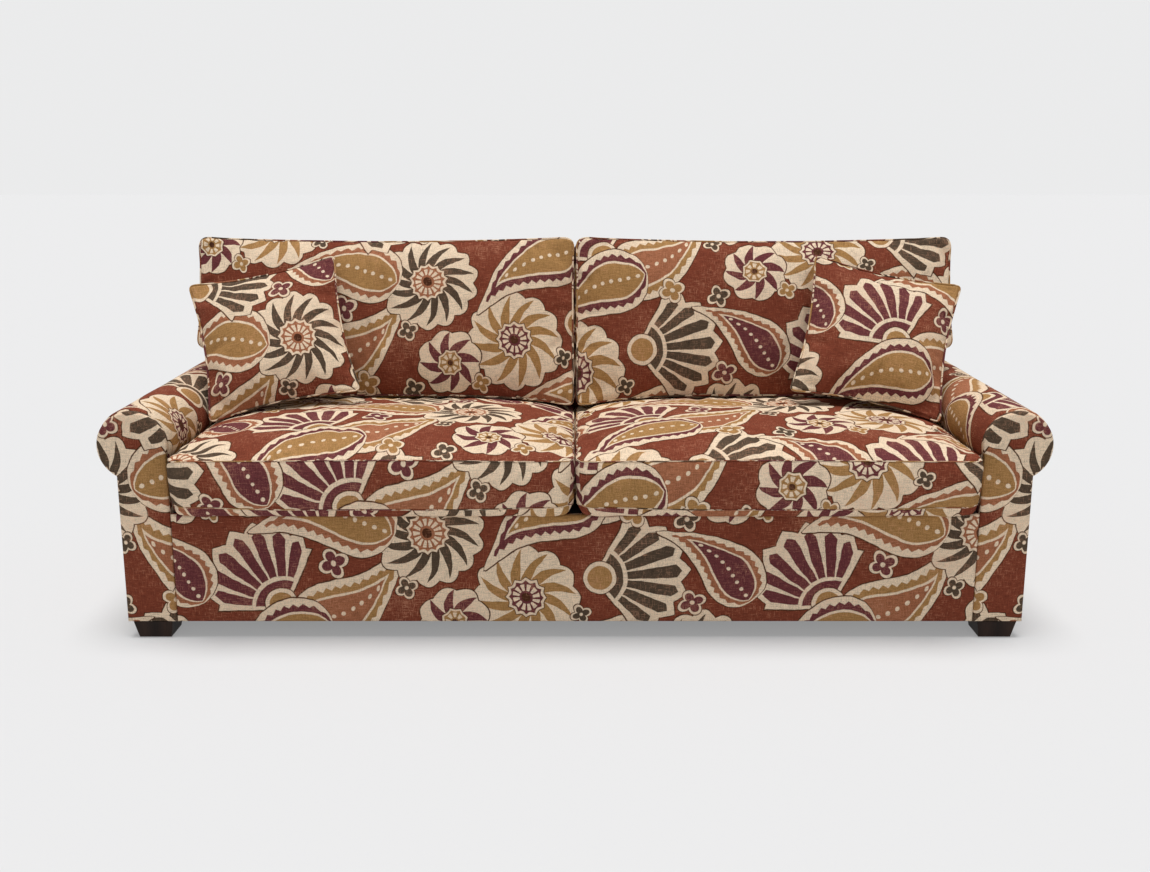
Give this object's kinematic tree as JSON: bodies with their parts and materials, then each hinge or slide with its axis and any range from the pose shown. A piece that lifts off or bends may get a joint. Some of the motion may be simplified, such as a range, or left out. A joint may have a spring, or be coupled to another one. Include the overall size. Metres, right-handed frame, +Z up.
{
  "type": "four-seater sofa",
  "caption": "Wide scroll-arm sofa with loose box seat cushions, eared back cushions and knife-edge scatter cushions on a timber frame with low tapered block feet.",
  "frame": {"origin": "On the floor at the middle of the sofa's overall width and depth.", "axes": "+Z up; the sofa faces -Y; +X runs along its width, to the right arm as seen from the front."},
  "size_m": [2.4, 0.98, 0.9816],
  "materials": {
    "frame_cover": "printed linen weave over padding",
    "cushion_cover": "printed linen weave, self-piped",
    "filling": "foam and fibre filling",
    "frame_timber": "planed, unfinished",
    "foot_wood": "dark stained, satin lacquer",
    "spring_steel": "drawn wire and zinc-plated fasteners",
    "black_lining": "woven lining",
    "glide_felt": "pressed felt"
  },
  "bodies": {
    "frame": {"front_border": "frame_cover", "inside_back": "frame_cover", "outside_back": "frame_cover", "back_cap": "frame_cover", "back_side_left": "frame_cover", "back_side_right": "frame_cover", "inside_arm_left": "frame_cover", "inside_arm_right": "frame_cover", "outside_arm_left": "frame_cover", "outside_arm_right": "frame_cover", "arm_roll_left": "frame_cover", "arm_roll_right": "frame_cover", "arm_facing_left": "frame_cover", "arm_facing_right": "frame_cover", "arm_back_facing_left": "frame_cover", "arm_back_facing_right": "frame_cover", "front_rail": "frame_timber", "back_seat_rail": "frame_timber", "seat_side_rails": "frame_timber", "seat_cross_rails": "frame_timber", "back_bottom_rail": "frame_timber", "arm_bottom_rail_left": "frame_timber", "arm_bottom_rail_right": "frame_timber", "arm_scroll_boards_left": "frame_timber", "arm_scroll_boards_right": "frame_timber", "arm_top_rail_left": "frame_timber", "arm_top_rail_right": "frame_timber", "back_post_left": "frame_timber", "back_post_right": "frame_timber", "back_stiles": "frame_timber", "back_top_rail": "frame_timber", "back_tuck_rail": "frame_timber", "back_wing_left": "frame_timber", "back_wing_right": "frame_timber", "corner_blocks": "frame_timber", "foot_front_left": "foot_wood", "foot_front_right": "foot_wood", "foot_back_left": "foot_wood", "foot_back_right": "foot_wood", "seat_springs": "spring_steel", "spring_clips": "spring_steel", "foot_bolts": "spring_steel", "back_webbing": "black_lining", "seat_platform": "black_lining", "dust_cover": "black_lining", "foot_glides": "glide_felt"},
    "seat_left": {"seat_cushion_left": "cushion_cover", "seat_core_left": "filling"},
    "seat_right": {"seat_cushion_right": "cushion_cover", "seat_core_right": "filling"},
    "back_left": {"back_cushion_left": "cushion_cover", "back_core_left": "filling"},
    "back_right": {"back_cushion_right": "cushion_cover", "back_core_right": "filling"},
    "scatter_left": {"scatter_cushion_left": "cushion_cover", "scatter_pad_left": "filling"},
    "scatter_right": {"scatter_cushion_right": "cushion_cover", "scatter_pad_right": "filling"}
  },
  "joints": [
    {"name": "seat_left_slide", "type": "slide", "parent": "frame", "child": "seat_left", "axis": [0, -1, 0], "range_m": [0, 0.75]},
    {"name": "seat_right_slide", "type": "slide", "parent": "frame", "child": "seat_right", "axis": [0, -1, 0], "range_m": [0, 0.75]},
    {"name": "back_left_lift", "type": "slide", "parent": "frame", "child": "back_left", "axis": [0, 0.2756, 0.9613], "range_m": [0, 0.45]},
    {"name": "back_right_lift", "type": "slide", "parent": "frame", "child": "back_right", "axis": [0, 0.2756, 0.9613], "range_m": [0, 0.45]},
    {"name": "scatter_left_lift", "type": "slide", "parent": "seat_left", "child": "scatter_left", "axis": [0, 0, 1], "range_m": [0, 0.45]},
    {"name": "scatter_right_lift", "type": "slide", "parent": "seat_right", "child": "scatter_right", "axis": [0, 0, 1], "range_m": [0, 0.45]}
  ]
}
